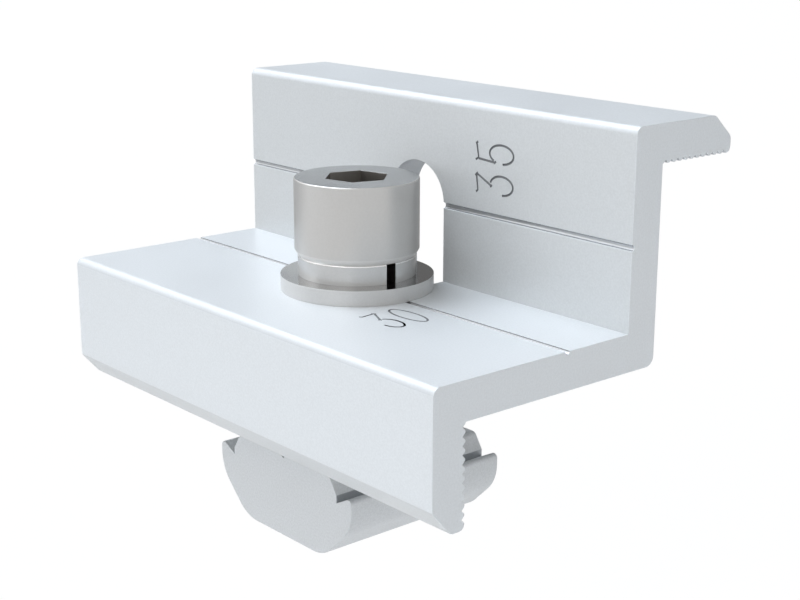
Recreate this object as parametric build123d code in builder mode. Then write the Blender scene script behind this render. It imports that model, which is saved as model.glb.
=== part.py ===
from build123d import *
import os

# Solar end clamp: an extruded aluminium angle with two toothed lips, held to a rail
# by a socket screw, a spring washer, a flat washer and a barbed rail nut.
# All sizes are in millimetres. The origin is on the screw's axis, in the plane of the
# rail's top, where the clamp's foot stands. X runs along the extrusion, Y points from
# the foot to the module, Z is up.

# Clamp body, driving sizes
body_length = 60.0
wall = 3.8
module_height_low = 29.5
module_height_high = 34.5
lip_reach = 10.0
lip_chamfer_run = 2.5
lip_chamfer_depth = 2.2
lip_chamfer_blend = 0.7
lip_tip_round = 0.6
top_corner_round = 0.8
back_corner_round = 1.0
tooth_count = 11
tooth_depth = 0.34
tooth_land = 0.18
tooth_round = 0.16
groove_radius = 0.3

# Screw and washers, driving sizes
thread_diameter = 8.0
thread_engagement = 5.0
screw_end_chamfer = 0.7
head_diameter = 13.0
head_height = 8.0
head_top_chamfer = 0.25
head_foot_chamfer_height = 0.6
head_foot_chamfer_width = 0.35
socket_sides = 6
socket_across_flats = 6.0
socket_depth = 4.3
socket_angle = 13.75
socket_floor_depth = 0.8
flat_washer_diameter = 16.0
flat_washer_thickness = 1.6
flat_washer_chamfer = 0.12
spring_washer_diameter = 12.3
spring_washer_thickness = 2.1
spring_washer_chamfer = 0.15
spring_split_width = 1.1
spring_split_angle = -5.0

# Clearances
slot_clearance = 0.25
flat_washer_clearance = 0.2
spring_washer_clearance = 0.08
nut_clearance = 0.05
washer_to_leg_gap = 0.25

# Rail nut, driving sizes
nut_width = 22.5
nut_length = 20.0
nut_height = 9.0
nut_drop = 2.5
hump_top_width = 15.5
hump_width = 17.7
hump_round = 0.7
notch_depth = 2.5
notch_wall_height = 0.8
barb_rise = 1.25
barb_round = 0.5
nut_side_depth = 4.6
nut_flank_run = 4.5
nut_flank_round = 4.5
nut_mark_width = 0.6
nut_mark_depth = 0.35
nut_mouth_chamfer = 0.5

# Places worked out from the sizes: heights (Z) and depths (Y) of the clamp's walls
shelf_under = lip_reach
shelf_top = shelf_under + wall
lip_under = module_height_low
lip_top = lip_under + wall
leg_front = flat_washer_diameter / 2 + washer_to_leg_gap
leg_back = leg_front + wall
lip_tip = leg_back + lip_reach
flange_back = lip_tip - module_height_high
flange_front = flange_back - wall
slot_top = shelf_top + leg_front

# Radii and seats worked out from the sizes
thread_radius = thread_diameter / 2
slot_radius = thread_radius + slot_clearance
spring_washer_seat = shelf_top + flat_washer_thickness
head_seat = spring_washer_seat + spring_washer_thickness
head_top = head_seat + head_height
socket_floor = head_top - socket_depth
nut_top = -nut_drop
nut_bottom = nut_top - nut_height
screw_end = nut_top - thread_engagement

# Spacing and width of the teeth, and how far each one's valley lies from the lip's root;
# they start at the root and end at the rounded tip
tooth_pitch = (lip_reach - lip_tip_round) / tooth_count
valley_half_width = (tooth_pitch - tooth_land) / 2
tooth_centres = [(i + 0.5) * tooth_pitch for i in range(tooth_count)]


def corner(sketch, across, up):
    """The sketch's corner that lies nearest a point of its plane."""
    return sketch.vertices().sort_by_distance((across, up, 0))[0]


# Clamp body: one extruded section, slotted across the corner for the screw
with BuildPart() as clamp_body:
    with BuildSketch(Plane.YZ) as section:
        with BuildLine() as outline:
            Polyline(
                (flange_front, lip_chamfer_run),
                (flange_front, shelf_top),
                (leg_front, shelf_top),
                (leg_front, lip_top),
                (lip_tip - lip_chamfer_run, lip_top),
                (lip_tip, lip_top - lip_chamfer_depth),
                (lip_tip, lip_under),
                (leg_back, lip_under),
                (leg_back, shelf_under),
                (flange_back, shelf_under),
                (flange_back, 0),
                (flange_front + lip_chamfer_depth, 0),
                close=True,
            )
        make_face()
        fillet([corner(section, lip_tip, lip_under), corner(section, flange_back, 0)], lip_tip_round)
        fillet(
            [
                corner(section, lip_tip - lip_chamfer_run, lip_top),
                corner(section, lip_tip, lip_top - lip_chamfer_depth),
                corner(section, flange_front, lip_chamfer_run),
                corner(section, flange_front + lip_chamfer_depth, 0),
            ],
            lip_chamfer_blend,
        )
        fillet(
            [corner(section, flange_front, shelf_top), corner(section, leg_front, lip_top)],
            top_corner_round,
        )
        fillet(corner(section, leg_back, shelf_under), back_corner_round)

        # Teeth: valleys cut into the underside of the lip and the back of the flange
        for centre in tooth_centres:
            with BuildLine():
                Polyline(
                    (leg_back + centre - valley_half_width, lip_under),
                    (leg_back + centre, lip_under + tooth_depth),
                    (leg_back + centre + valley_half_width, lip_under),
                    close=True,
                )
            make_face(mode=Mode.SUBTRACT)
            with BuildLine():
                Polyline(
                    (flange_back, shelf_under - centre - valley_half_width),
                    (flange_back - tooth_depth, shelf_under - centre),
                    (flange_back, shelf_under - centre + valley_half_width),
                    close=True,
                )
            make_face(mode=Mode.SUBTRACT)
        for centre in tooth_centres:
            for side in (-valley_half_width, valley_half_width):
                fillet(corner(section, leg_back + centre + side, lip_under), tooth_round)
                fillet(corner(section, flange_back, shelf_under - centre + side), tooth_round)

        # Guide grooves, half round, along the shelf and the leg, in line with the two screw places
        with Locations((0, shelf_top), (leg_front, slot_top)):
            Circle(groove_radius, mode=Mode.SUBTRACT)
    extrude(amount=body_length / 2, both=True)

    # Screw slot: through the shelf and the corner, then up the leg
    with BuildSketch(Plane.XY.offset(shelf_under)):
        Circle(slot_radius)
        with Locations((0, leg_back / 2)):
            Rectangle(2 * slot_radius, leg_back)
    extrude(amount=wall, mode=Mode.SUBTRACT)
    with BuildSketch(Plane.XZ.offset(-leg_back)):
        with Locations((0, slot_top)):
            Circle(slot_radius)
        with Locations((0, (shelf_under + slot_top) / 2)):
            Rectangle(2 * slot_radius, slot_top - shelf_under)
    extrude(amount=wall, mode=Mode.SUBTRACT)

# Flat washer on the shelf
with BuildPart() as flat_washer:
    with BuildSketch(Plane.XY.offset(shelf_top)):
        Circle(flat_washer_diameter / 2)
        Circle(thread_radius + flat_washer_clearance, mode=Mode.SUBTRACT)
    extrude(amount=flat_washer_thickness)
    rims = flat_washer.edges().filter_by(GeomType.CIRCLE).group_by(SortBy.RADIUS)[-1]
    chamfer(rims, flat_washer_chamfer)

# Spring washer under the head, split at one side and pressed flat
with BuildPart() as spring_washer:
    with BuildSketch(Plane.XY.offset(spring_washer_seat)):
        Circle(spring_washer_diameter / 2)
        Circle(thread_radius + spring_washer_clearance, mode=Mode.SUBTRACT)
    extrude(amount=spring_washer_thickness)
    rims = spring_washer.edges().filter_by(GeomType.CIRCLE).group_by(SortBy.RADIUS)[-1]
    chamfer(rims, spring_washer_chamfer)
    with BuildSketch(Plane.XY.offset(spring_washer_seat).rotated((0, 0, spring_split_angle))):
        with Locations((spring_washer_diameter / 2, 0)):
            Rectangle(spring_washer_diameter, spring_split_width)
    extrude(amount=spring_washer_thickness, mode=Mode.SUBTRACT)

# Socket screw: a turned blank with a hexagon socket; the shank has the thread's outer size
with BuildPart() as socket_screw:
    with BuildSketch(Plane.XZ):
        with BuildLine() as half_section:
            Polyline(
                (0, screw_end),
                (thread_radius - screw_end_chamfer, screw_end),
                (thread_radius, screw_end + screw_end_chamfer),
                (thread_radius, head_seat),
                (head_diameter / 2 - head_foot_chamfer_width, head_seat),
                (head_diameter / 2, head_seat + head_foot_chamfer_height),
                (head_diameter / 2, head_top - head_top_chamfer),
                (head_diameter / 2 - head_top_chamfer, head_top),
                (0, head_top),
                close=True,
            )
        make_face()
    revolve(axis=Axis.Z)
    with BuildSketch(Plane.XY.offset(socket_floor)):
        RegularPolygon(socket_across_flats / 2, socket_sides, major_radius=False, rotation=socket_angle)
    extrude(amount=socket_depth, mode=Mode.SUBTRACT)
    with Locations((0, 0, socket_floor)):
        Cone(
            bottom_radius=0,
            top_radius=socket_across_flats / 2,
            height=socket_floor_depth,
            align=(Align.CENTER, Align.CENTER, Align.MAX),
            mode=Mode.SUBTRACT,
        )

# Rail nut: one extruded section, a hump between two barbed hooks, bored for the screw
barb_top = nut_top - notch_depth + barb_rise
flank_top = nut_top - nut_side_depth
nut_half = [
    (0, nut_top - nut_mark_depth),
    (nut_mark_width / 2, nut_top),
    (hump_top_width / 2, nut_top),
    (hump_width / 2, nut_top - notch_depth + notch_wall_height),
    (hump_width / 2, nut_top - notch_depth),
    (nut_width / 2, barb_top),
    (nut_width / 2, flank_top),
    (nut_width / 2 - nut_flank_run, nut_bottom),
    (0, nut_bottom),
]

with BuildPart() as rail_nut:
    with BuildSketch(Plane.XZ) as nut_section:
        with BuildLine() as nut_outline:
            Polyline(*nut_half, close=True)
        make_face()
        fillet(corner(nut_section, hump_top_width / 2, nut_top), hump_round)
        fillet(corner(nut_section, nut_width / 2, barb_top), barb_round)
        fillet(
            [
                corner(nut_section, nut_width / 2, flank_top),
                corner(nut_section, nut_width / 2 - nut_flank_run, nut_bottom),
            ],
            nut_flank_round,
        )
        mirror(about=Plane.YZ)
    extrude(amount=nut_length / 2, both=True)
    with BuildSketch(Plane.XY.offset(nut_bottom)):
        Circle(thread_radius + nut_clearance)
    extrude(amount=nut_height, mode=Mode.SUBTRACT)
    mouth = rail_nut.faces().sort_by(Axis.Z)[0].edges().filter_by(GeomType.CIRCLE)
    chamfer(mouth, nut_mouth_chamfer)

os.makedirs("parts", exist_ok=True)
clamp_body.part.label = "clamp_body"
export_step(clamp_body.part, "parts/clamp_body.step")
flat_washer.part.label = "flat_washer"
export_step(flat_washer.part, "parts/flat_washer.step")
spring_washer.part.label = "spring_washer"
export_step(spring_washer.part, "parts/spring_washer.step")
socket_screw.part.label = "socket_screw"
export_step(socket_screw.part, "parts/socket_screw.step")
rail_nut.part.label = "rail_nut"
export_step(rail_nut.part, "parts/rail_nut.step")
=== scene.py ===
import math

import bmesh
import bpy
from mathutils import Matrix, Vector
from mathutils.geometry import interpolate_bezier


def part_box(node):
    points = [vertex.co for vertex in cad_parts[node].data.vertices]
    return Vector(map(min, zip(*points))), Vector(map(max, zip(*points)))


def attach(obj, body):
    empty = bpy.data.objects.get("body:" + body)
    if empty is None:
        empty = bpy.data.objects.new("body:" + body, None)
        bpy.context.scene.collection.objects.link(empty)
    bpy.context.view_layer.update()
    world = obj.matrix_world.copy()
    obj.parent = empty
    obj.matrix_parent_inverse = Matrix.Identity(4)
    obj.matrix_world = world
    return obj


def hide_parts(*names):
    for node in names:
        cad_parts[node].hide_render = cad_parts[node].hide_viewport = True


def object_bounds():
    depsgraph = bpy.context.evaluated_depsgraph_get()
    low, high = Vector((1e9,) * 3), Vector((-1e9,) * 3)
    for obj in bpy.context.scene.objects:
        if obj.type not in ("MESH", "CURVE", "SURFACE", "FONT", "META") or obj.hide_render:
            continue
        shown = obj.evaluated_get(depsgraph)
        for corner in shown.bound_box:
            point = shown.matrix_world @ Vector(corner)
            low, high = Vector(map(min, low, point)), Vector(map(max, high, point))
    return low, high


# Solar end clamp: an anodised aluminium extrusion with two engraved size marks, a turned
# steel screw with a spring washer and a flat washer, and a barbed aluminium rail nut.
# The frame gives the outlines and most places. The sizes written here, in millimetres, are
# those that it doesn't give and those that only the looks need.

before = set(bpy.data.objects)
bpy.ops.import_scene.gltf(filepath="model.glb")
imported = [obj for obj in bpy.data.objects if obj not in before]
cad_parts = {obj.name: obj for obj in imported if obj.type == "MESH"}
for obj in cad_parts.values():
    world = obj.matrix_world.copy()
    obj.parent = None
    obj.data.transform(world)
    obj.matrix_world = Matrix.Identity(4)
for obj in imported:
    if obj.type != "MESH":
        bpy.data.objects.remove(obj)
cad_low, cad_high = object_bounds()

MM = 0.001

# Places read from the frame
clamp_low, clamp_high = (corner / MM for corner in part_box("clamp_body"))
screw_low, screw_high = (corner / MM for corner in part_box("socket_screw"))
flat_low, flat_high = (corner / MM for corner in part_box("flat_washer"))
spring_low, spring_high = (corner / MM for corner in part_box("spring_washer"))
nut_low, nut_high = (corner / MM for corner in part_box("rail_nut"))
shelf_top = flat_low.z
head_seat = spring_high.z

# Clamp body
wall = 3.8
washer_to_leg_gap = 0.25
leg_front = flat_high.x + washer_to_leg_gap
leg_back = leg_front + wall
shelf_under = shelf_top - wall
slot_radius = 4.25
slot_top = shelf_top + leg_front
lip_under = clamp_high.z - wall
flange_back = clamp_low.y + wall
tooth_reach = 0.4
tooth_margin = 0.1
groove_radius = 0.3
groove_mouth_turn = 60
groove_edge_round = 0.08
end_edge = 0.07
edge_tilt = 0.15
chamfer_tilt = 0.3

# Screw
round_steps = 96
thread_radius = 4.0
thread_root_radius = 3.32
thread_pitch = 1.25
thread_crest = 0.125
thread_flank = 0.314
thread_end_slope = 1.2
end_chamfer = 0.7
head_rim_round = 0.16
head_foot_height = 0.6
head_foot_width = 0.35
socket_flats = 6.0
socket_depth = 4.3
socket_angle = 13.75
socket_rim = 0.008
socket_floor_step = 0.02
socket_floor_depth = 0.8

# Washers
flat_washer_bore = 4.2
flat_washer_round = 0.02
spring_washer_bore = 4.08
spring_washer_top_round = 0.15
spring_washer_foot_round = 0.01
spring_split_width = 1.1
spring_split_angle = -5.0
spring_rim_low_tilt = 0.05
spring_rim_high_tilt = 0.9
spring_split_reach = spring_high.x / 5

# Nut
nut_thread_gap = 0.05
nut_mouth = 0.5
nut_edge_round = 0.12
notch_wall_reach = 9.0
notch_wall_tilt = 0.9

# Engraved size marks: a digit's strokes in its own cell, and where the marks stand
digit_advance_on_shelf = 2.95
digit_advance_on_leg = 3.15
digit_stroke = 0.12
digit_bow_steps = 36
mark_foot = 14.4
mark_start_on_shelf = -7.05
mark_start_on_leg = 24.4

# How corners and faces are told apart: a corner that turns further, in degrees, is sharp,
# and a face runs along an axis or faces it by what its normal has of that axis
sharp_turn = 32
weld_distance = 0.001
on_place = 0.01
along = 0.1
facing = 0.99


# Mesh helpers, all in millimetres

def mesh_object(name, bm):
    """A new object from a bmesh in millimetres, with its doubled vertices merged."""
    bmesh.ops.remove_doubles(bm, verts=bm.verts, dist=weld_distance)
    bmesh.ops.dissolve_degenerate(bm, edges=bm.edges, dist=weld_distance / 2)
    bmesh.ops.scale(bm, vec=(MM, MM, MM), verts=bm.verts)
    mesh = bpy.data.meshes.new(name)
    bm.to_mesh(mesh)
    bm.free()
    made = bpy.data.objects.new(name, mesh)
    bpy.context.scene.collection.objects.link(made)
    return made


def mesh_of(made):
    """A new mesh of an object with its modifiers, or of a curve with its bevel."""
    graph = bpy.context.evaluated_depsgraph_get()
    return bpy.data.meshes.new_from_object(made.evaluated_get(graph))


def apply_modifiers(made):
    """Keeps the mesh that the object's modifiers make."""
    mesh = mesh_of(made)
    made.modifiers.clear()
    made.data = mesh


def shade(made):
    """Smooth faces, with creases at sharp corners."""
    mesh = made.data
    mesh.polygons.foreach_set("use_smooth", [True] * len(mesh.polygons))
    mesh.set_sharp_from_angle(angle=math.radians(sharp_turn))
    made.modifiers.new("even shading", "WEIGHTED_NORMAL").keep_sharp = True
    apply_modifiers(made)


def cut(made, cutters):
    """Cuts each of the cutters out of an object, then deletes them."""
    for cutter in cutters:
        step = made.modifiers.new("cut", "BOOLEAN")
        step.operation = "DIFFERENCE"
        step.solver = "EXACT"
        step.material_mode = "TRANSFER"
        step.object = cutter
    apply_modifiers(made)
    for cutter in cutters:
        bpy.data.objects.remove(cutter)


def arc(centre, half, start, end, steps=6):
    """Points on an arc about a centre, from one angle to another in degrees.

    half is the radius across and the radius up."""
    points = []
    for i in range(steps + 1):
        angle = math.radians(start + (end - start) * i / steps)
        points.append((centre[0] + half[0] * math.cos(angle), centre[1] + half[1] * math.sin(angle)))
    return points


def join_rows(bm, lower, upper):
    """Quads between two rows of vertices that go all the way round."""
    for i in range(len(lower)):
        j = (i + 1) % len(lower)
        bm.faces.new((lower[i], lower[j], upper[j], upper[i]))


def close_rows(bm, rows):
    """A closed body through rows of vertices, with a face over the first and the last."""
    for lower, upper in zip(rows, rows[1:]):
        join_rows(bm, lower, upper)
    bm.faces.new(rows[0][::-1])
    bm.faces.new(rows[-1])
    bmesh.ops.recalc_face_normals(bm, faces=bm.faces)


def prism(bm, sections, axis):
    """A closed body through outlines that lie across an axis, each with its place on it."""
    rows = []
    for place, points in sections:
        row = []
        for across, up in points:
            where = [across, up]
            where.insert(axis, place)
            row.append(bm.verts.new(where))
        rows.append(row)
    close_rows(bm, rows)


def circle_row(bm, radius, height, start):
    """Vertices round the axis. The radius is a number, or a function of the step."""
    row = []
    for i in range(round_steps):
        angle = math.radians(start) + 2 * math.pi * i / round_steps
        out = radius(i) if callable(radius) else radius
        row.append(bm.verts.new((out * math.cos(angle), out * math.sin(angle), height)))
    return row


def lathe(bm, profile, start=0.0):
    """Turns a profile of (radius, height) points about the axis. Radius 0 closes it."""
    rows = []
    for radius, height in profile:
        if radius == 0:
            rows.append([bm.verts.new((0, 0, height))] * round_steps)
        else:
            rows.append(circle_row(bm, radius, height, start))
    for lower, upper in zip(rows, rows[1:]):
        for i in range(round_steps):
            j = (i + 1) % round_steps
            corners = [lower[i], lower[j], upper[j], upper[i]]
            bm.faces.new(list(dict.fromkeys(corners)))


def thread_surface(bm, low, high, limit, start):
    """A right-hand thread between two heights, as rows of vertices that climb with it.

    It is made from two turns below to two turns above, and held between the heights.
    limit(radius, height) trims the radius, and makes it one circle at each end."""
    spare = 2
    marks = (
        (0.0, thread_radius),
        (thread_crest, thread_radius),
        (thread_crest + thread_flank, thread_root_radius),
        (1 - thread_flank, thread_root_radius),
    )
    first = math.floor(low / thread_pitch) - spare
    last = math.ceil(high / thread_pitch) + spare
    rows = []
    for turn in range(first, last + 1):
        for place, radius in marks:
            row = []
            for i in range(round_steps):
                share = i / round_steps
                height = min(max((turn + place + share) * thread_pitch, low), high)
                angle = math.radians(start) + 2 * math.pi * share
                out = limit(radius, height)
                row.append(bm.verts.new((out * math.cos(angle), out * math.sin(angle), height)))
            rows.append(row)
    for k in range(len(rows) - len(marks) - 1):
        for i in range(round_steps - 1):
            bm.faces.new((rows[k][i], rows[k][i + 1], rows[k + 1][i + 1], rows[k + 1][i]))
        after = k + len(marks)
        bm.faces.new((rows[k][-1], rows[after][0], rows[after + 1][0], rows[k + 1][-1]))


# Outlines: closed loops of points, as pairs of numbers

def section_loop(node, axis):
    """The outline of an extruded node's end face, from the frame.

    axis is the extrusion's, and the points are pairs of the other two coordinates."""
    bm = bmesh.new()
    bm.from_mesh(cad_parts[node].data)
    bmesh.ops.remove_doubles(bm, verts=bm.verts, dist=2 * weld_distance * MM)
    end = max(vertex.co[axis] for vertex in bm.verts)
    inside = set()
    for face in bm.faces:
        if all(end - vertex.co[axis] < weld_distance * MM for vertex in face.verts):
            inside.add(face)
    ahead = {}
    for face in bm.faces:
        if face not in inside:
            continue
        for loop in face.loops:
            if not any(other in inside for other in loop.edge.link_faces if other is not face):
                ahead[loop.vert] = loop.link_loop_next.vert
    first = next(iter(ahead))
    across, up = [i for i in range(3) if i != axis]
    points = []
    vertex = first
    while True:
        points.append((vertex.co[across] / MM, vertex.co[up] / MM))
        vertex = ahead[vertex]
        if vertex is first:
            break
    bm.free()
    area = sum(a[0] * b[1] - a[1] * b[0] for a, b in zip(points, points[1:] + points[:1]))
    return points if area > 0 else points[::-1]


def outer_turn(points, i):
    """How far an outline turns outwards at a point, in radians. Inner corners are below 0."""
    here = Vector(points[i])
    before = here - Vector(points[i - 1])
    after = Vector(points[(i + 1) % len(points)]) - here
    return math.atan2(before.x * after.y - before.y * after.x, before.dot(after))


def arc_way(points, i, much_longer=1.5):
    """The way an outline runs through a point, as on an arc, or None at a sharp corner.

    Where one side is much longer, it is a flat that the arc runs into, and gives the way."""
    before = Vector(points[i]) - Vector(points[i - 1])
    after = Vector(points[(i + 1) % len(points)]) - Vector(points[i])
    if abs(outer_turn(points, i)) > math.radians(sharp_turn):
        return None
    if before.length > much_longer * after.length:
        return before.normalized()
    if after.length > much_longer * before.length:
        return after.normalized()
    return (before.normalized() + after.normalized()).normalized()


def rounder(points, shortest=0.15, least_bend=0.02, steps=4):
    """Splits the chords that stand for arcs in an outline, so that its rounds look round."""
    count = len(points)
    ways = [arc_way(points, i) for i in range(count)]
    finer = []
    for i in range(count):
        here = Vector(points[i])
        there = Vector(points[(i + 1) % count])
        chord = there - here
        start = ways[i]
        end = ways[(i + 1) % count]
        finer.append(tuple(here))
        if start is None or end is None or chord.length < shortest:
            continue
        bend_in = start.cross(chord) / chord.length
        bend_out = chord.cross(end) / chord.length
        if min(abs(bend_in), abs(bend_out)) > least_bend and bend_in * bend_out > 0:
            reach = chord.length / 3
            curve = interpolate_bezier(here, here + start * reach, there - end * reach, there, steps)
            finer += [tuple(spot[:2]) for spot in curve[1:-1]]
    return finer


def walk(points, i, step, reach):
    """The place a length along the outline from a point, and the next point beyond it."""
    here = Vector(points[i])
    while True:
        i = (i + step) % len(points)
        ahead = Vector(points[i])
        length = (ahead - here).length
        if length > reach:
            return here.lerp(ahead, reach / length), i
        reach -= length
        here = ahead


def soften(points, radius, turn=sharp_turn, steps=4, above=-math.inf):
    """Rounds an outline's outer corners that turn further than an angle and lie above a height.

    Its inner corners stay sharp."""
    count = len(points)
    sharp = []
    for i in range(count):
        if points[i][1] > above and outer_turn(points, i) > math.radians(turn):
            sharp.append(i)
    rounded = []
    for number, i in enumerate(sharp):
        corner = Vector(points[i])
        reach = radius * math.tan(outer_turn(points, i) / 2)
        start, _ = walk(points, i, -1, reach)
        end, after = walk(points, i, 1, reach)
        for k in range(steps + 1):
            t = k / steps
            rounded.append(start.lerp(corner, t).lerp(corner.lerp(end, t), t))
        following = sharp[(number + 1) % len(sharp)]
        next_reach = radius * math.tan(outer_turn(points, following) / 2)
        _, last = walk(points, following, -1, next_reach)
        while after != (last + 1) % count:
            rounded.append(Vector(points[after]))
            after = (after + 1) % count
    return [tuple(spot) for spot in rounded]


def inset(points, depth, least_share=0.4):
    """An outline moved inwards, with its corners mitred, but none by over depth / least_share."""
    moved = []
    count = len(points)
    for i, point in enumerate(points):
        here = Vector(point)
        before = (here - Vector(points[i - 1])).normalized()
        after = (Vector(points[(i + 1) % count]) - here).normalized()
        side = Vector((-before.y - after.y, before.x + after.x)).normalized()
        share = max(least_share, side.dot(Vector((-after.y, after.x))))
        moved.append(tuple(here + side * depth / share))
    return moved


def extrusion(bm, points, axis, half_length, edge):
    """An extruded outline, centred on the origin along its axis, with broken end edges."""
    stations = []
    for angle in (0, 30, 60, 90):
        depth = edge * (1 - math.sin(math.radians(angle)))
        back = edge * (1 - math.cos(math.radians(angle)))
        stations.append((half_length - back, depth))
    stations = [(-place, depth) for place, depth in stations] + stations[::-1]
    sections = []
    for place, depth in stations:
        sections.append((place, inset(points, depth) if depth else points))
    prism(bm, sections, axis)


def stadium_prism(name, centre, end, axis, low, high):
    """A slot's cutter: round at its centre, open towards an end, along an axis."""
    points = []
    for i in range(round_steps // 2 + 1):
        angle = math.pi * i / (round_steps // 2)
        up = slot_radius * math.sin(angle) * (1 if centre > end else -1)
        points.append((slot_radius * math.cos(angle), centre + up))
    points.append((-slot_radius, end))
    points.append((slot_radius, end))
    bm = bmesh.new()
    prism(bm, [(low, points), (high, points)], axis)
    return mesh_object(name, bm)


# Materials. Scales are in features to a millimetre, depths in millimetres

noise_low = 0.3
noise_high = 0.7
grain_scale = 5.0
aluminium_grain_detail = 2.5
aluminium_patch_scale = 0.09
streak_scale = 7.0
streak_scale_along = 0.03
streak_depth = 0.0006
steel_grain_detail = 3.0
steel_patch_scale = 0.3


def node_material(name):
    """An empty material with a Principled shader, its nodes and its links."""
    made = bpy.data.materials.new(name)
    made.use_nodes = True
    nodes = made.node_tree.nodes
    return made, nodes, made.node_tree.links, nodes["Principled BSDF"]


def stretched_noise(nodes, links, scale, detail=2.0):
    """Noise in the part's own place, with a scale of its own along each axis."""
    place = nodes.new("ShaderNodeTexCoord")
    mapping = nodes.new("ShaderNodeMapping")
    mapping.inputs["Scale"].default_value = [part / MM for part in scale]
    links.new(place.outputs["Object"], mapping.inputs["Vector"])
    noise = nodes.new("ShaderNodeTexNoise")
    noise.inputs["Scale"].default_value = 1.0
    noise.inputs["Detail"].default_value = detail
    links.new(mapping.outputs["Vector"], noise.inputs["Vector"])
    return noise.outputs["Fac"]


def spread(nodes, links, source, low, high):
    """Maps a noise's middle range to a range of values."""
    ranged = nodes.new("ShaderNodeMapRange")
    ranged.inputs["From Min"].default_value = noise_low
    ranged.inputs["From Max"].default_value = noise_high
    ranged.inputs["To Min"].default_value = low
    ranged.inputs["To Max"].default_value = high
    links.new(source, ranged.inputs["Value"])
    return ranged.outputs["Result"]


def tint(nodes, links, source, dark, light):
    """Blends two colours by a noise."""
    mixed = nodes.new("ShaderNodeMix")
    mixed.data_type = "RGBA"
    mixed.inputs["A"].default_value = (*dark, 1)
    mixed.inputs["B"].default_value = (*light, 1)
    links.new(source, mixed.inputs["Factor"])
    return mixed.outputs["Result"]


def bump(nodes, links, height, depth, under=None):
    """Raises a surface by a noise, over another bump if one is given."""
    raised = nodes.new("ShaderNodeBump")
    raised.inputs["Strength"].default_value = 1.0
    raised.inputs["Distance"].default_value = depth * MM
    links.new(height, raised.inputs["Height"])
    if under is not None:
        links.new(under, raised.inputs["Normal"])
    return raised.outputs["Normal"]


def grained_metal(name, colour, variation, rough, grain, metallic, grain_detail, patch_scale):
    """A metal with a fine grain in its colour and its surface, and patches that are rougher.

    variation is how far the grain goes from the colour, as a share of it, both ways. rough is
    the lowest and highest roughness, and grain the depth of the grain. It gives the material,
    its shader and the surface's normal."""
    made, nodes, links, shader = node_material(name)
    shader.inputs["Metallic"].default_value = metallic
    fine = stretched_noise(nodes, links, [grain_scale] * 3, grain_detail)
    dark = [part * (1 - variation) for part in colour]
    light = [part * (1 + variation) for part in colour]
    share = spread(nodes, links, fine, 0.0, 1.0)
    links.new(tint(nodes, links, share, dark, light), shader.inputs["Base Color"])
    patches = stretched_noise(nodes, links, [patch_scale] * 3)
    links.new(spread(nodes, links, patches, *rough), shader.inputs["Roughness"])
    normal = bump(nodes, links, fine, grain)
    links.new(normal, shader.inputs["Normal"])
    return made, shader, normal


def aluminium(name, colour, variation, rough, grain, streak_axis=None, metallic=0.25):
    """Satin aluminium, with drawn lines along an axis if one is given."""
    made, shader, normal = grained_metal(
        name, colour, variation, rough, grain, metallic, aluminium_grain_detail, aluminium_patch_scale
    )
    if streak_axis is not None:
        nodes, links = made.node_tree.nodes, made.node_tree.links
        scale = [streak_scale] * 3
        scale[streak_axis] = streak_scale_along
        streaks = stretched_noise(nodes, links, scale)
        normal = bump(nodes, links, streaks, streak_depth, normal)
        links.new(normal, shader.inputs["Normal"])
    return made


def steel(name, colour, variation, rough, grain, metallic=1.0, glancing=1.0):
    """Steel with a fine sandy grain.

    glancing is how bright a reflection stays where the surface is seen edge on."""
    made, shader, _ = grained_metal(
        name, colour, variation, rough, grain, metallic, steel_grain_detail, steel_patch_scale
    )
    shader.inputs["Specular Tint"].default_value = (glancing, glancing, glancing, 1)
    return made


# Each metal: its colour, how far the grain varies it, its roughness, the grain's depth and,
# where it has drawn lines, their axis
clamp_faces = aluminium("clamp_anodised", (0.700, 0.725, 0.742), 0.033, (0.36, 0.42), 0.004, 0)
# A darker copy of the anodised colour: painted shade on the leg's front face and the flange's chamfer.
painted_shade_faces = aluminium("clamp_anodised_painted_shade", (0.606, 0.623, 0.630), 0.038, (0.36, 0.42), 0.004, 0)
# A darker, more diffuse copy of the anodised colour: painted shade that tones down the highlight on the
# rounded top-front edges.
edge_shade_faces = aluminium("clamp_edge_painted_shade", (0.595, 0.615, 0.63), 0.033, (0.45, 0.50), 0.004, 0, metallic=0.17)
# A dark copy of the aluminium: painted shade on the slots' walls, between the teeth and on the nut's
# notch walls.
recess_shade_faces = aluminium("recess_painted_shade", (0.42, 0.44, 0.46), 0.03, (0.36, 0.42), 0.003)
# Near black: painted shade inside the engraved strokes.
engraving_painted_shade = aluminium("engraving_painted_shade", (0.18, 0.188, 0.196), 0.1, (0.5, 0.6), 0.001)
nut_faces = aluminium("nut_matte", (0.615, 0.632, 0.643), 0.065, (0.44, 0.50), 0.004, 1)
# Glossier than the anodised faces, and darker as painted shade inside the grooves.
groove_shade_faces = steel("clamp_groove_shade", (0.43, 0.445, 0.46), 0.03, (0.14, 0.17), 0.0002, metallic=0.6)
screw_steel = steel(
    "screw_steel", (0.553, 0.543, 0.528), 0.02, (0.28, 0.30), 0.0, metallic=0.55, glancing=0.5
)
# Smoother than the screw's side, and darker as painted shade on the head's top face.
head_top_shade = steel("head_top_shade", (0.36, 0.368, 0.376), 0.025, (0.22, 0.25), 0.0002)
# Much lighter than the spring steel: a painted highlight on the spring washer's top round.
painted_highlight_steel = steel(
    "painted_highlight_steel", (0.88, 0.87, 0.855), 0.02, (0.28, 0.30), 0.0, metallic=0.72, glancing=0.5
)
# Lighter and more diffuse than the screw steel: painted light on the head's foot chamfer, over the
# shade of the gap above the washer.
foot_painted_light = steel(
    "foot_painted_light", (0.63, 0.62, 0.605), 0.02, (0.28, 0.30), 0.0, metallic=0.25, glancing=0.5
)
thread_steel = steel("thread_steel", (0.32, 0.31, 0.30), 0.03, (0.28, 0.30), 0.0002)
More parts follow.
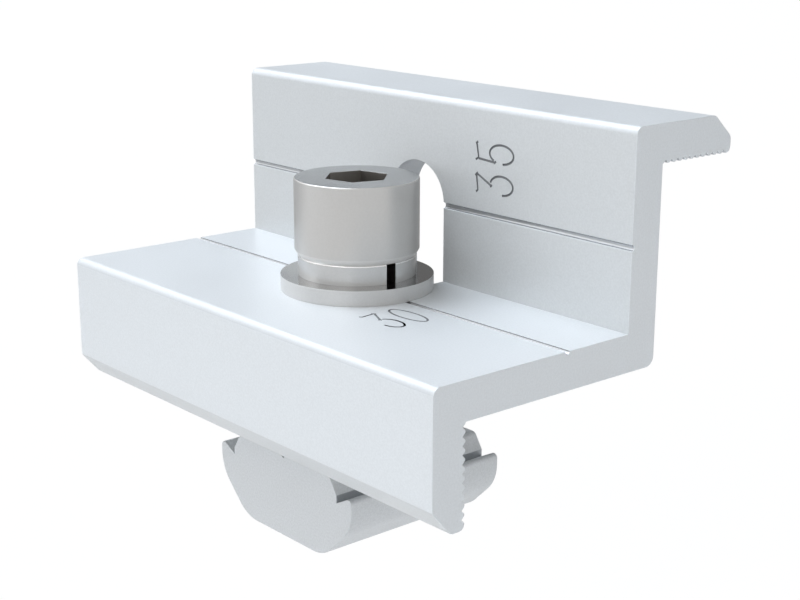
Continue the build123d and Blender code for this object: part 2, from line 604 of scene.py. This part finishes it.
# A dark copy of the steel: painted shade in the hexagon socket and on the split washer's split faces.
recess_shade_steel = steel("recess_shade_steel", (0.36, 0.34, 0.32), 0.03, (0.3, 0.4), 0.0004)
washer_edge = steel("washer_edge", (0.585, 0.58, 0.571), 0.03, (0.32, 0.36), 0.0004, metallic=0.5)
washer_face = steel("washer_face", (0.45, 0.447, 0.44), 0.012, (0.13, 0.15), 0.0001)
spring_steel = steel(
    "spring_steel", (0.562, 0.562, 0.557), 0.025, (0.24, 0.27), 0.0002, metallic=0.5, glancing=0.5
)


def paint(made, material, chosen=None):
    """Adds a material to a piece, and gives it to the faces that are chosen by their middle
    and their normal, both as vectors, in millimetres. Without a choice no face changes."""
    made.data.materials.append(material)
    if chosen is not None:
        for face in made.data.polygons:
            if chosen(face.center / MM, face.normal):
                face.material_index = len(made.data.materials) - 1


def dress(made, body, node):
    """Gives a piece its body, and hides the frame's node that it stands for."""
    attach(made, body)
    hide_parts(node)


# Engraved digits: straight strokes as points, and one bow as centre, half sizes and angles
DIGITS = {
    "0": (
        [],
        ((0.95, 2.65), (0.94, 2.67), (0, 360)),
    ),
    "3": (
        [
            [(-0.15, 5.28), (0.08, 5.05), (1.62, 5.25)],
            [(1.50, 5.45), (1.85, 5.08)],
            [(1.70, 5.12), (0.75, 3.14)],
            [(0.62, 3.28), (0.85, 3.00)],
        ],
        ((0.91, 1.65), (0.95, 1.60), (81, -176)),
    ),
    "5": (
        [
            [(0.00, 5.43), (0.25, 5.00), (1.62, 5.26)],
            [(1.60, 5.40), (1.87, 5.12)],
            [(0.16, 4.97), (0.02, 2.75)],
            [(-0.10, 2.80), (0.15, 2.50)],
        ],
        ((0.90, 1.72), (0.95, 1.68), (139, -174)),
    ),
}


def stroke_cutter(points):
    """A round cutter along a stroke's points on the part, closed if the stroke is a ring."""
    closed = (Vector(points[0]) - Vector(points[-1])).length < weld_distance
    if closed:
        points = points[:-1]
    curve = bpy.data.curves.new("stroke", "CURVE")
    curve.dimensions = "3D"
    curve.bevel_depth = digit_stroke * MM
    curve.bevel_resolution = 2
    curve.use_fill_caps = not closed
    line = curve.splines.new("POLY")
    line.points.add(len(points) - 1)
    line.use_cyclic_u = closed
    for spot, point in zip(line.points, points):
        spot.co = (*(Vector(point) * MM), 1)
    drawn = bpy.data.objects.new("stroke", curve)
    bpy.context.scene.collection.objects.link(drawn)
    mesh = mesh_of(drawn)
    mesh.materials.clear()
    # The stroke's groove is coloured with painted shade.
    mesh.materials.append(engraving_painted_shade)
    bpy.data.objects.remove(drawn)
    cutter = bpy.data.objects.new("stroke", mesh)
    bpy.context.scene.collection.objects.link(cutter)
    return cutter


def engraving(text, advance, place):
    """Cutters for a text, its digits one advance apart.

    place(u, v) puts a cell's point on the part."""
    cutters = []
    for number, digit in enumerate(text):
        strokes, (centre, half, angles) = DIGITS[digit]
        for stroke in strokes + [arc(centre, half, *angles, steps=digit_bow_steps)]:
            cutters.append(stroke_cutter([place(u + number * advance, v) for u, v in stroke]))
    return cutters


# Pieces

def make_clamp():
    """The extrusion, slotted across its corner and engraved."""
    outline = rounder(section_loop("clamp_body", 0))
    outline = soften(outline, groove_edge_round, turn=groove_mouth_turn, above=shelf_top + wall)
    bm = bmesh.new()
    extrusion(bm, outline, 0, clamp_high.x, end_edge)
    made = mesh_object("clamp_extrusion", bm)

    # The leg's front face and the flange's chamfer, which get painted shade.
    def in_painted_shade(middle, normal):
        leg = normal.y < -facing and abs(middle.y - leg_front) < on_place
        chamfer = abs(normal.x) < along and normal.z < 0 and normal.y * normal.z > chamfer_tilt
        return leg or chamfer

    def rounded(middle, normal):
        return abs(normal.x) < along and normal.y < -edge_tilt and normal.z > edge_tilt

    def toothed(middle, normal):
        in_lip = lip_under - tooth_margin < middle.z < lip_under + tooth_reach
        in_flange = abs(middle.y - flange_back) < tooth_reach
        under_lip = in_lip and middle.y > leg_back + tooth_margin
        behind_flange = in_flange and middle.z < shelf_under - tooth_margin
        return abs(normal.x) < along and (under_lip or behind_flange)

    def in_groove(middle, normal):
        in_shelf = math.hypot(middle.y, middle.z - shelf_top) < groove_radius
        in_leg = math.hypot(middle.y - leg_front, middle.z - slot_top) < groove_radius
        return abs(normal.x) < along and (in_shelf or in_leg)

    paint(made, clamp_faces)
    # Painted shade on the leg's front face and the flange's chamfer.
    paint(made, painted_shade_faces, in_painted_shade)
    # Painted shade on the rounded top-front edges, to tone down their highlight.
    paint(made, edge_shade_faces, rounded)
    # Painted shade between the teeth.
    paint(made, recess_shade_faces, toothed)
    # Inside the grooves: a glossier finish with painted shade.
    paint(made, groove_shade_faces, in_groove)

    past = 2.0
    little = past / 4
    shelf_cut = stadium_prism(
        "shelf_cut", 0.0, leg_back + past, 2, shelf_under - past, shelf_top + little
    )
    leg_cut = stadium_prism(
        "leg_cut", slot_top, shelf_under - past, 1, leg_front - little, leg_back + past
    )
    for cutter in (shelf_cut, leg_cut):
        # The slots' walls take the cutters' painted shade.
        paint(cutter, recess_shade_faces)
    cut(made, [shelf_cut, leg_cut])

    def on_shelf(u, v):
        return mark_foot - v, mark_start_on_shelf + u, shelf_top

    def on_leg(u, v):
        return mark_foot - v, leg_front, mark_start_on_leg + u

    cut(made, engraving("30", digit_advance_on_shelf, on_shelf))
    cut(made, engraving("35", digit_advance_on_leg, on_leg))
    shade(made)
    dress(made, "clamp", "clamp_body")


def make_screw():
    """The screw: a full thread, a head with rounded rims and a hexagon socket."""
    low = screw_low.z
    top = screw_high.z
    head = screw_high.x
    end_radius = thread_radius - end_chamfer
    half_flats = socket_flats / 2
    half_corners = half_flats / math.cos(math.radians(30))
    socket_floor = top - socket_depth

    def trimmed(radius, height):
        radius = min(radius, end_radius + height - low)
        return max(radius, thread_radius - (head_seat - height) * thread_end_slope)

    def hexagon(flats):
        def radius(step):
            turn = (360 * step / round_steps) % 60 - 30
            return flats / math.cos(math.radians(turn))
        return radius

    profile = [
        (thread_radius, head_seat),
        (head - head_foot_width, head_seat),
        (head, head_seat + head_foot_height),
    ]
    profile += arc((head - head_rim_round, top - head_rim_round), (head_rim_round,) * 2, 0, 90)
    profile += [
        (hexagon(half_flats + socket_rim), top),
        (hexagon(half_flats), top - socket_rim),
        (hexagon(half_flats), socket_floor),
        (half_flats - socket_floor_step, socket_floor),
        (0, socket_floor - socket_floor_depth),
    ]
    bm = bmesh.new()
    lathe(bm, [(0, low), (end_radius, low)], socket_angle)
    thread_surface(bm, low, head_seat, trimmed, socket_angle)
    lathe(bm, profile, socket_angle)
    made = mesh_object("socket_head_screw", bm)
    shade(made)

    def foot(middle, normal):
        return head_seat < middle.z < head_seat + head_foot_height and normal.z < -along

    def shank(middle, normal):
        return middle.z < head_seat - on_place

    def head_top(middle, normal):
        return middle.z > top - on_place and normal.z > facing

    def in_socket(middle, normal):
        inside = math.hypot(middle.x, middle.y) < half_corners
        return inside and head_seat < middle.z < top - on_place

    paint(made, screw_steel)
    # Painted light on the foot chamfer.
    paint(made, foot_painted_light, foot)
    paint(made, thread_steel, shank)
    # Painted shade on the head's top face.
    paint(made, head_top_shade, head_top)
    # Painted shade inside the socket.
    paint(made, recess_shade_steel, in_socket)
    dress(made, "screw", "socket_screw")


def washer_profile(bore, radius, low, high, foot_round, top_round):
    """A washer's half section with rounded outer edges, from its bore round to its bore."""
    profile = [(bore, low)]
    profile += arc((radius - foot_round, low + foot_round), (foot_round,) * 2, -90, 0)
    profile += arc((radius - top_round, high - top_round), (top_round,) * 2, 0, 90)
    profile += [(bore, high)]
    return profile


def make_flat_washer():
    """The plain washer: satin at its edge and smooth on its flat sides."""
    profile = washer_profile(
        flat_washer_bore, flat_high.x, flat_low.z, flat_high.z, flat_washer_round, flat_washer_round
    )
    bm = bmesh.new()
    lathe(bm, profile + profile[:1])
    made = mesh_object("plain_washer", bm)
    shade(made)
    paint(made, washer_edge)
    paint(made, washer_face, lambda middle, normal: abs(normal.z) > facing)
    dress(made, "washers", "flat_washer")


def make_spring_washer():
    """The split ring: its section goes round from one side of the split to the other."""
    profile = washer_profile(
        spring_washer_bore,
        spring_high.x,
        spring_low.z,
        spring_high.z,
        spring_washer_foot_round,
        spring_washer_top_round,
    )
    rows = []
    bm = bmesh.new()
    for i in range(round_steps + 1):
        share = i / round_steps
        row = []
        for radius, height in profile:
            half_split = math.asin(spring_split_width / 2 / radius)
            angle = math.radians(spring_split_angle) + half_split + share * 2 * (math.pi - half_split)
            row.append(bm.verts.new((radius * math.cos(angle), radius * math.sin(angle), height)))
        rows.append(row)
    close_rows(bm, rows)
    made = mesh_object("split_washer", bm)
    shade(made)

    def top_round(middle, normal):
        return spring_rim_low_tilt < normal.z < spring_rim_high_tilt

    def split_side(middle, normal):
        return abs(normal.y) > facing and abs(middle.y) < spring_split_reach

    paint(made, spring_steel)
    # A painted highlight on the top round.
    paint(made, painted_highlight_steel, top_round)
    # Painted shade on the split's faces.
    paint(made, recess_shade_steel, split_side)
    dress(made, "washers", "spring_washer")


def make_nut():
    """The nut's extrusion, tapped with the screw's thread, one thread gap wider."""
    outline = soften(rounder(section_loop("rail_nut", 1)), nut_edge_round)
    bm = bmesh.new()
    extrusion(bm, outline, 1, nut_high.y, end_edge)
    made = mesh_object("barbed_nut", bm)

    def notch_wall(middle, normal):
        return abs(normal.x) > notch_wall_tilt and abs(middle.x) < notch_wall_reach

    paint(made, nut_faces)
    # Painted shade on the notch walls.
    paint(made, recess_shade_faces, notch_wall)

    wide = thread_radius + nut_thread_gap
    past = 0.5
    low = nut_low.z - past
    high = nut_high.z + past

    def trimmed(radius, height):
        radius = max(radius + nut_thread_gap, wide - (nut_high.z - height) * thread_end_slope)
        return max(radius, wide + nut_mouth - (height - nut_low.z))

    bm = bmesh.new()
    lathe(bm, [(0, low), (trimmed(0, low), low)], socket_angle)
    thread_surface(bm, low, high, trimmed, socket_angle)
    lathe(bm, [(trimmed(0, high), high), (0, high)], socket_angle)
    tap = mesh_object("tap", bm)
    paint(tap, nut_faces)
    cut(made, [tap])
    shade(made)
    dress(made, "nut", "rail_nut")


make_clamp()
make_screw()
make_flat_washer()
make_spring_washer()
make_nut()


# Stage: floor, world, lamps and camera

floor_depth = 30.0
floor_half = 6000.0
floor_grey = 0.80
floor_roughness = 0.9
floor_white_share = 0.94
floor_dim_strength = 0.5
floor_dim_reach = 150.0
world_light = 0.43
world_dim_strength = 0.2
world_dim_start = 0.1
world_dim_end = 0.8
dim_side = (-0.65, 0.72, 0.25)
side_tint = (0.972, 0.985, 1.0)
sky_tint = (0.88, 0.965, 1.07)
lamp_aim = (0, 0, 10)
camera_place = (117.504, -95.331, 53.692)
camera_yaw = math.radians(49.252)
camera_pitch = math.radians(15.287)
camera_roll = math.radians(0.166)
camera_lens = 67.287


def larger(nodes, links, first, second):
    """The larger of two values."""
    made = nodes.new("ShaderNodeMath")
    made.operation = "MAXIMUM"
    links.new(first, made.inputs[0])
    links.new(second, made.inputs[1])
    return made.outputs[0]


def shown_rays(nodes, links):
    """1 for rays from the camera, and for those that metal and glass reflect or pass on."""
    path = nodes.new("ShaderNodeLightPath").outputs
    seen = larger(nodes, links, path["Is Camera Ray"], path["Is Glossy Ray"])
    return larger(nodes, links, seen, path["Is Transmission Ray"])


def dimmer_behind(nodes, links, place, near, far, lowest):
    """Full white to the camera. To other rays it falls off along dim_side, between two
    distances, so that metal shows a studio with one bright side."""
    behind = nodes.new("ShaderNodeVectorMath")
    behind.operation = "DOT_PRODUCT"
    behind.inputs[1].default_value = dim_side
    links.new(place, behind.inputs[0])
    dimmed = nodes.new("ShaderNodeMapRange")
    dimmed.interpolation_type = "SMOOTHSTEP"
    dimmed.inputs["From Min"].default_value = near
    dimmed.inputs["From Max"].default_value = far
    dimmed.inputs["To Min"].default_value = 1.0
    dimmed.inputs["To Max"].default_value = lowest
    links.new(behind.outputs["Value"], dimmed.inputs["Value"])
    path = nodes.new("ShaderNodeLightPath").outputs
    return larger(nodes, links, dimmed.outputs["Result"], path["Is Camera Ray"])


def make_floor():
    """A wide white floor well below the part. It keeps a faint shadow."""
    bm = bmesh.new()
    bmesh.ops.create_grid(bm, x_segments=1, y_segments=1, size=floor_half)
    bmesh.ops.translate(bm, vec=(0, 0, cad_low.z / MM - floor_depth), verts=bm.verts)
    made = mesh_object("floor", bm)
    material, nodes, links, shader = node_material("floor_white")
    shader.inputs["Base Color"].default_value = (floor_grey, floor_grey, floor_grey, 1)
    shader.inputs["Roughness"].default_value = floor_roughness
    shader.inputs["Specular IOR Level"].default_value = 0.0
    white = nodes.new("ShaderNodeEmission")
    place = nodes.new("ShaderNodeNewGeometry").outputs["Position"]
    strength = dimmer_behind(nodes, links, place, 0.0, floor_dim_reach * MM, floor_dim_strength)
    links.new(strength, white.inputs["Strength"])
    share = nodes.new("ShaderNodeMath")
    share.operation = "MULTIPLY"
    share.inputs[1].default_value = floor_white_share
    links.new(shown_rays(nodes, links), share.inputs[0])
    mixed = nodes.new("ShaderNodeMixShader")
    links.new(share.outputs[0], mixed.inputs["Fac"])
    links.new(shader.outputs["BSDF"], mixed.inputs[1])
    links.new(white.outputs["Emission"], mixed.inputs[2])
    links.new(mixed.outputs["Shader"], nodes["Material Output"].inputs["Surface"])
    made.data.materials.append(material)


def make_world():
    """White to the camera, dimmer behind the part in reflections, and softer as light."""
    world = bpy.data.worlds.new("studio")
    world.use_nodes = True
    bpy.context.scene.world = world
    nodes, links = world.node_tree.nodes, world.node_tree.links
    shown = nodes["Background"]
    shown.inputs["Color"].default_value = (1, 1, 1, 1)
    direction = nodes.new("ShaderNodeTexCoord").outputs["Generated"]
    strength = dimmer_behind(
        nodes, links, direction, world_dim_start, world_dim_end, world_dim_strength
    )
    links.new(strength, shown.inputs["Strength"])
    lit = nodes.new("ShaderNodeBackground")
    lit.inputs["Color"].default_value = (1, 1, 1, 1)
    lit.inputs["Strength"].default_value = world_light
    mixed = nodes.new("ShaderNodeMixShader")
    links.new(shown_rays(nodes, links), mixed.inputs["Fac"])
    links.new(lit.outputs["Background"], mixed.inputs[1])
    links.new(shown.outputs["Background"], mixed.inputs[2])
    links.new(mixed.outputs["Shader"], nodes["World Output"].inputs["Surface"])


def softbox(name, place, width, height, radiance, tint=(1, 1, 1)):
    """A rectangular lamp at a place, turned to the part."""
    data = bpy.data.lights.new(name, "AREA")
    data.color = tint
    data.shape = "RECTANGLE"
    data.size = width * MM
    data.size_y = height * MM
    data.energy = radiance * math.pi * width * height * MM * MM
    lamp = bpy.data.objects.new(name, data)
    lamp.location = Vector(place) * MM
    lamp.rotation_mode = "QUATERNION"
    lamp.rotation_quaternion = (Vector(lamp_aim) - Vector(place)).to_track_quat("-Z", "Y")
    bpy.context.scene.collection.objects.link(lamp)


def make_camera():
    """The photograph's camera, from its place and the angles of its view."""
    level = math.cos(camera_pitch)
    back = Vector((math.sin(camera_yaw) * level, -math.cos(camera_yaw) * level, math.sin(camera_pitch)))
    flat_right = Vector((0, 0, 1)).cross(back).normalized()
    flat_up = back.cross(flat_right)
    right = flat_right * math.cos(camera_roll) + flat_up * math.sin(camera_roll)
    up = flat_up * math.cos(camera_roll) - flat_right * math.sin(camera_roll)
    data = bpy.data.cameras.new("camera")
    data.lens = camera_lens
    data.clip_start = 0.01
    data.clip_end = 100
    camera = bpy.data.objects.new("camera", data)
    turned = Matrix((right, up, back)).transposed().to_4x4()
    camera.matrix_world = Matrix.Translation(Vector(camera_place) * MM) @ turned
    bpy.context.scene.collection.objects.link(camera)
    bpy.context.scene.camera = camera


# The stage itself. Each lamp: its place, its width and height, its radiance and its tint
make_floor()
make_world()
softbox("left_softbox", (-3120, -1000, 2160), 6400, 3000, 1.2, side_tint)
softbox("top_softbox", (-1800, -600, 3500), 2200, 2200, 8.6, sky_tint)
softbox("front_softbox", (1000, -3100, 1700), 2800, 220, 12.0)
make_camera()
bpy.context.scene.view_settings.view_transform = "Standard"
